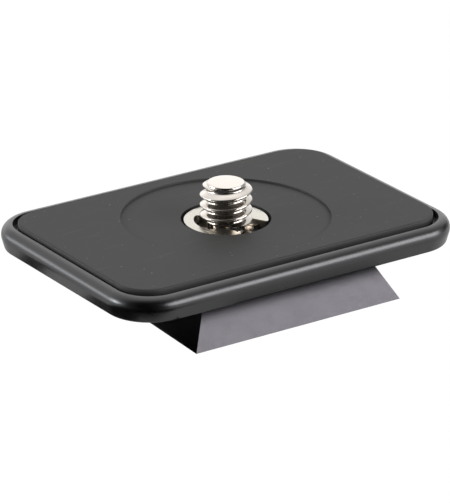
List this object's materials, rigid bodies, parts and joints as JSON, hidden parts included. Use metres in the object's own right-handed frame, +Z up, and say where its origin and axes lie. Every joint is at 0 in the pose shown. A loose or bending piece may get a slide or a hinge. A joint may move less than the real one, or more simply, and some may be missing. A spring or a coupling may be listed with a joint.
{
  "type": "tripod quick release plate",
  "caption": "Quick release plate for a tripod head: a rubber-topped metal plate on a dovetail foot, with a captive camera screw held by an open retaining clip.",
  "frame": {"origin": "on the screw's axis, in the plane of the foot's underside, which is the bottom centre of the whole part", "axes": "+X along the long side of the plate, +Y to the back where the foot is narrower, +Z up along the camera screw"},
  "size_m": [0.048, 0.0336, 0.0133],
  "materials": {
    "black_metal": "satin black anodised",
    "pad_rubber": "matte moulded rubber",
    "bright_steel": "bright nickel plate"
  },
  "bodies": {
    "plate": {"base_plate": "black_metal", "rubber_pad": "pad_rubber"},
    "clip": {"retaining_clip": "bright_steel"},
    "screw": {"camera_screw": "bright_steel"}
  },
  "joints": [
    {"name": "screw_float", "type": "slide", "parent": "plate", "child": "clip", "axis": [0, 0, 1], "range_m": [0, 0.0003]},
    {"name": "screw_turn", "type": "hinge", "parent": "clip", "child": "screw", "pos_m": [0, 0, 0.008], "axis": [0, 0, 1], "continuous": true}
  ]
}
